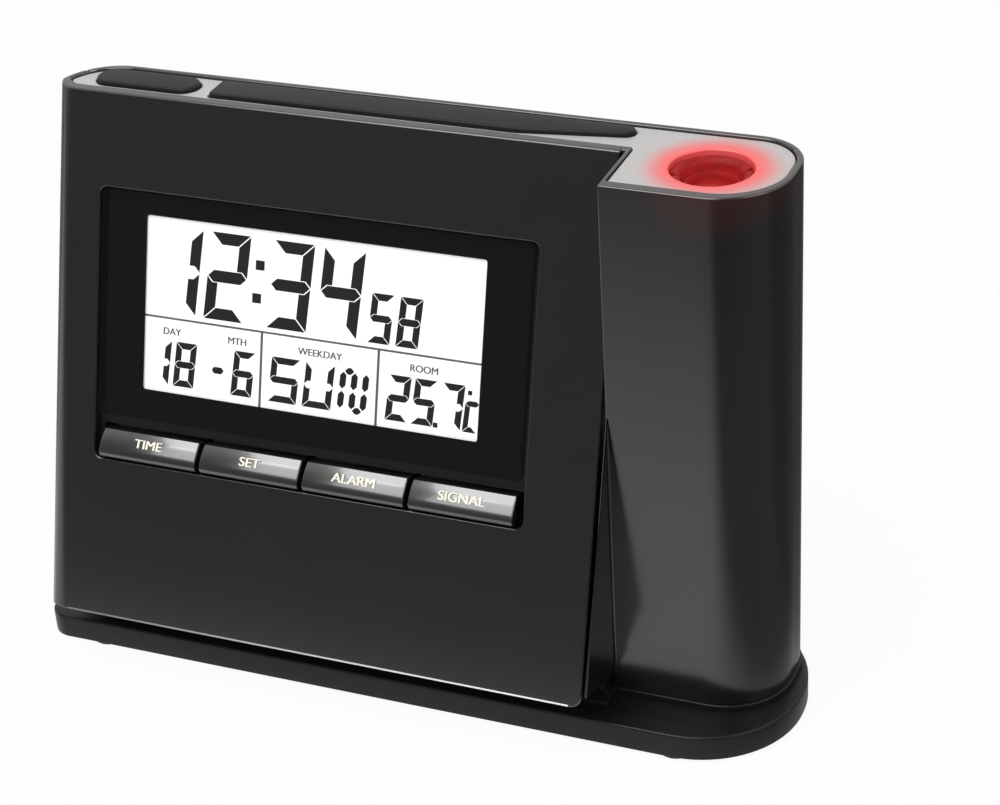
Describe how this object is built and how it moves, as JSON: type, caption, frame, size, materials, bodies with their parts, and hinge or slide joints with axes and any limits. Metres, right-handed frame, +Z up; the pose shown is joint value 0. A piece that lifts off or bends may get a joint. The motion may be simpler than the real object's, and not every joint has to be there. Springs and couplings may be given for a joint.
{
  "type": "projection alarm clock",
  "caption": "Bedside alarm clock with a leaning display body, a row of function buttons, a snooze bar on top and an upright projector tower on an oblong base.",
  "frame": {"origin": "middle of the footprint, on the table", "axes": "+X along the base towards the projector tower, -Y out of the display side, +Z up"},
  "size_m": [0.1496, 0.0472, 0.1098],
  "materials": {
    "housing": "fine satin texture",
    "deck": "silver paint with a fine grain",
    "rubber_foot": "matte",
    "steel": "bright",
    "window": "polished, with a black border behind it",
    "black_plastic": "matte",
    "lcd": "white background with black segments",
    "diffuser": "milky",
    "elastomer": "matte",
    "circuit_board": "solder mask",
    "key": "glossy",
    "bar": "satin",
    "led": "clear red",
    "clear_lens": "polished",
    "projection_lens": "polished, lit red from below",
    "focus_ring": "satin, lit red by the lens",
    "cell": "printed sleeve",
    "ferrite": "matte",
    "copper": "enamelled copper",
    "wire": "insulated"
  },
  "bodies": {
    "housing": {"front_shell": "housing", "rear_shell": "housing", "base_plate": "housing", "top_deck": "deck", "rubber_feet": "rubber_foot", "shell_screws": "steel", "base_screws": "steel", "board_screws": "steel", "tube_screws": "steel", "crystal": "steel", "contact_springs": "steel", "contact_plates": "steel", "slide_switch": "steel", "display_window": "window", "display_frame": "black_plastic", "projector_tube": "black_plastic", "key_switches": "black_plastic", "deck_switches": "black_plastic", "dc_jack": "black_plastic", "reset_switch": "black_plastic", "buzzer": "black_plastic", "processor": "black_plastic", "temperature_sensor": "black_plastic", "lcd_glass": "lcd", "backlight_panel": "diffuser", "antenna_holder": "diffuser", "contact_strip": "elastomer", "main_board": "circuit_board", "key_board": "circuit_board", "deck_board": "circuit_board", "side_board": "circuit_board", "led_board": "circuit_board", "projector_led": "led", "condenser_lens": "clear_lens", "image_panel": "clear_lens", "upper_cell": "cell", "lower_cell": "cell", "antenna_rod": "ferrite", "antenna_coil": "copper", "power_wires": "wire", "projector_wires": "wire"},
    "snooze": {"snooze_bar": "bar"},
    "light": {"light_button": "bar"},
    "time_key": {"time_button": "key"},
    "set_key": {"set_button": "key"},
    "alarm_key": {"alarm_button": "key"},
    "signal_key": {"signal_button": "key"},
    "ring": {"focus_ring": "focus_ring"},
    "barrel": {"lens_barrel": "black_plastic", "front_lens": "projection_lens", "rear_lens": "clear_lens"},
    "door": {"battery_door": "housing"},
    "knob": {"switch_knob": "bar"},
    "reset": {"reset_button": "bar"}
  },
  "joints": [
    {"name": "snooze_press", "type": "slide", "parent": "housing", "child": "snooze", "axis": [0, 0, -1], "range_m": [0, 0.0009], "stiffness_N_per_m": 800, "springref_m": -0.001},
    {"name": "light_press", "type": "slide", "parent": "housing", "child": "light", "axis": [0, 0, -1], "range_m": [0, 0.0009], "stiffness_N_per_m": 600, "springref_m": -0.001},
    {"name": "time_press", "type": "slide", "parent": "housing", "child": "time_key", "axis": [0, 0.9553, -0.2957], "range_m": [0, 0.0006], "stiffness_N_per_m": 500, "springref_m": -0.001},
    {"name": "set_press", "type": "slide", "parent": "housing", "child": "set_key", "axis": [0, 0.9553, -0.2957], "range_m": [0, 0.0006], "stiffness_N_per_m": 500, "springref_m": -0.001},
    {"name": "alarm_press", "type": "slide", "parent": "housing", "child": "alarm_key", "axis": [0, 0.9553, -0.2957], "range_m": [0, 0.0006], "stiffness_N_per_m": 500, "springref_m": -0.001},
    {"name": "signal_press", "type": "slide", "parent": "housing", "child": "signal_key", "axis": [0, 0.9553, -0.2957], "range_m": [0, 0.0006], "stiffness_N_per_m": 500, "springref_m": -0.001},
    {"name": "focus_turn", "type": "hinge", "parent": "housing", "child": "ring", "pos_m": [0.0577, 0.0049, 0.105], "axis": [0, 0, 1], "range_deg": [-90, 90]},
    {"name": "focus_travel", "type": "slide", "parent": "housing", "child": "barrel", "axis": [0, 0, 1], "range_m": [-0.0008, 0.0008]},
    {"name": "door_hinge", "type": "hinge", "parent": "housing", "child": "door", "pos_m": [-0.022, 0.0178, 0.0204], "axis": [-1, 0, 0], "range_deg": [0, 80]},
    {"name": "switch_slide", "type": "slide", "parent": "housing", "child": "knob", "axis": [1, 0, 0], "range_m": [0, 0.004]},
    {"name": "reset_press", "type": "slide", "parent": "housing", "child": "reset", "axis": [0, -1, 0], "range_m": [0, 0.0005], "stiffness_N_per_m": 300, "springref_m": -0.001}
  ],
  "couplings": [
    {"joint": "focus_turn", "follows": "focus_travel", "rad_per_m": 1960}
  ]
}
